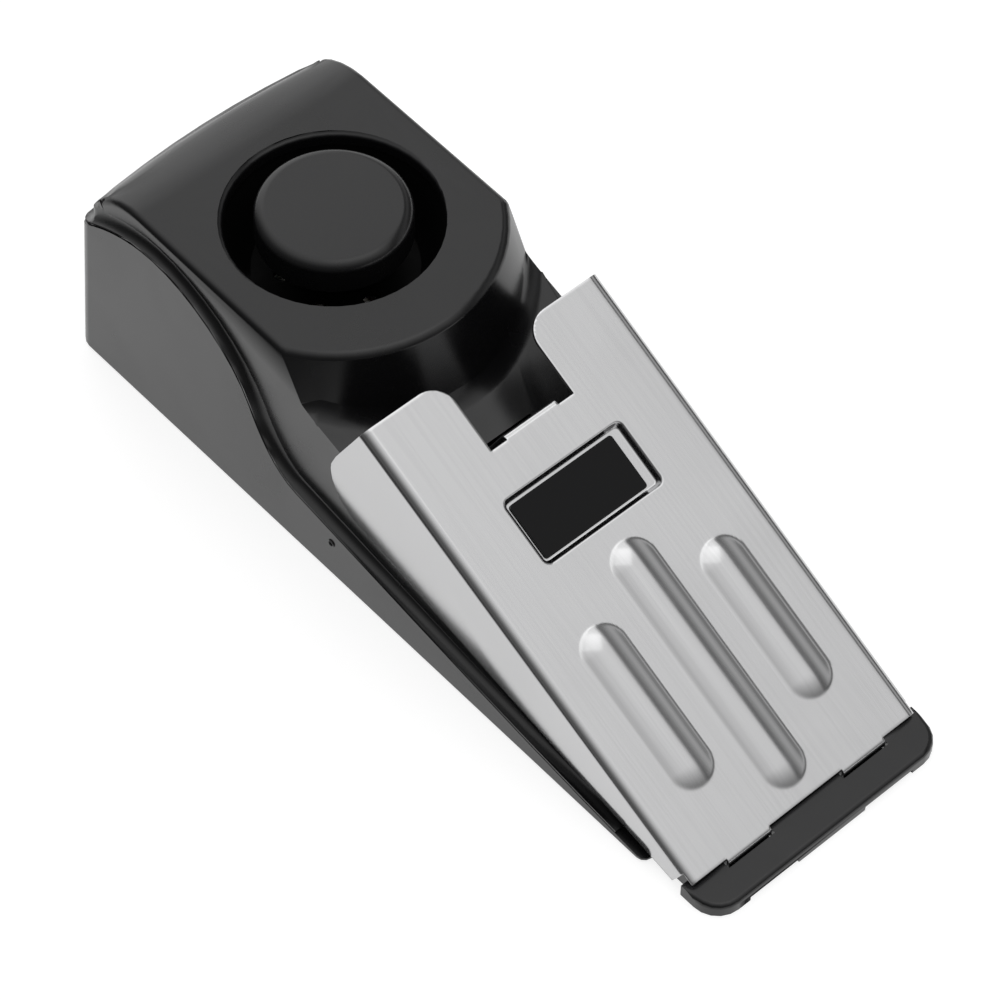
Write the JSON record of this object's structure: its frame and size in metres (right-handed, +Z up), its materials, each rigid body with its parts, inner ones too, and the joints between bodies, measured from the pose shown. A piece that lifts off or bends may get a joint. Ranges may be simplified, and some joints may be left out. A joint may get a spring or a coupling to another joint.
{
  "type": "door stop alarm",
  "caption": "Wedge-shaped door stop alarm: black housing with a top siren, a hinged steel pressure plate on the ramp, rear slide switches and a sliding battery door.",
  "frame": {"origin": "middle of the footprint, on the floor", "axes": "+X along the wedge towards its thin toe, +Y across it, +Z up"},
  "size_m": [0.144, 0.047, 0.0434],
  "materials": {
    "body_plastic": "black moulded plastic with a fine satin surface",
    "plate_steel": "bright pressed sheet steel, fine satin",
    "label_black": "bare black name plate",
    "inner_plastic": "plain black plastic",
    "spring_steel": "drawn spring wire",
    "zinc_steel": "zinc-plated steel",
    "brass": "rolled brass",
    "ceramic_white": "off-white ceramic or plastic",
    "board_green": "green lacquered board",
    "coil_copper": "lacquered copper winding",
    "resistor_beige": "beige lacquer",
    "capacitor_sleeve": "dark sleeve",
    "ribbon_grey": "grey flat cable",
    "battery_case": "plain dark steel jacket",
    "lead_red": "red wire sleeve",
    "lead_black": "black wire sleeve",
    "rubber": "soft black rubber"
  },
  "bodies": {
    "housing": {"upper_housing": "body_plastic", "lower_housing": "body_plastic", "return_spring": "spring_steel", "siren_cap": "inner_plastic", "siren_horn": "inner_plastic", "siren_chamber": "inner_plastic", "piezo_disc": "brass", "piezo_ceramic": "ceramic_white", "battery": "battery_case", "battery_snap": "inner_plastic", "power_switch_body": "zinc_steel", "sensitivity_switch_body": "zinc_steel", "switch_board": "board_green", "switch_ribbon": "ribbon_grey", "circuit_board": "board_green", "board_screw_1": "zinc_steel", "board_screw_2": "zinc_steel", "boost_coil": "coil_copper", "capacitor": "capacitor_sleeve", "transistor": "inner_plastic", "controller_chip": "inner_plastic", "resistor_1": "resistor_beige", "resistor_2": "resistor_beige", "resistor_3": "resistor_beige", "trigger_switch_body": "inner_plastic", "housing_screw_1": "zinc_steel", "housing_screw_2": "zinc_steel", "housing_screw_3": "zinc_steel", "housing_screw_4": "zinc_steel", "front_pad": "rubber", "rear_foot_left": "rubber", "rear_foot_right": "rubber", "battery_lead_red": "lead_red", "battery_lead_black": "lead_black", "siren_lead_red": "lead_red", "siren_lead_black": "lead_black"},
    "plate": {"pressure_plate": "plate_steel", "label_plate": "label_black"},
    "trigger_lever": {"trigger_lever": "spring_steel"},
    "trigger_button": {"trigger_button": "ceramic_white"},
    "power_knob": {"power_knob": "inner_plastic"},
    "sensitivity_knob": {"sensitivity_knob": "inner_plastic"},
    "battery_door": {"battery_door": "body_plastic"}
  },
  "joints": [
    {"name": "plate_hinge", "type": "hinge", "parent": "housing", "child": "plate", "pos_m": [0.06655, 0, 0.0011], "axis": [0, -1, 0], "range_deg": [0, 2.5], "stiffness_Nm_per_rad": 1, "springref_deg": -5.73, "deforming": ["return_spring"]},
    {"name": "trigger_lever_hinge", "type": "hinge", "parent": "housing", "child": "trigger_lever", "pos_m": [-0.00445, 0, 0.0171], "axis": [0, 1, 0], "range_deg": [0, 17]},
    {"name": "trigger_button_slide", "type": "slide", "parent": "housing", "child": "trigger_button", "axis": [0, 0, -1], "range_m": [0, 0.0008]},
    {"name": "power_knob_slide", "type": "slide", "parent": "housing", "child": "power_knob", "axis": [0, 1, 0], "range_m": [0, 0.0025]},
    {"name": "sensitivity_knob_slide", "type": "slide", "parent": "housing", "child": "sensitivity_knob", "axis": [0, 1, 0], "range_m": [0, 0.004]},
    {"name": "battery_door_slide", "type": "slide", "parent": "housing", "child": "battery_door", "axis": [-1, 0, 0], "range_m": [0, 0.05]}
  ],
  "couplings": [
    {"joint": "trigger_lever_hinge", "follows": "plate_hinge", "ratio": 6.79},
    {"joint": "trigger_button_slide", "follows": "plate_hinge", "m_per_rad": 0.0183}
  ]
}
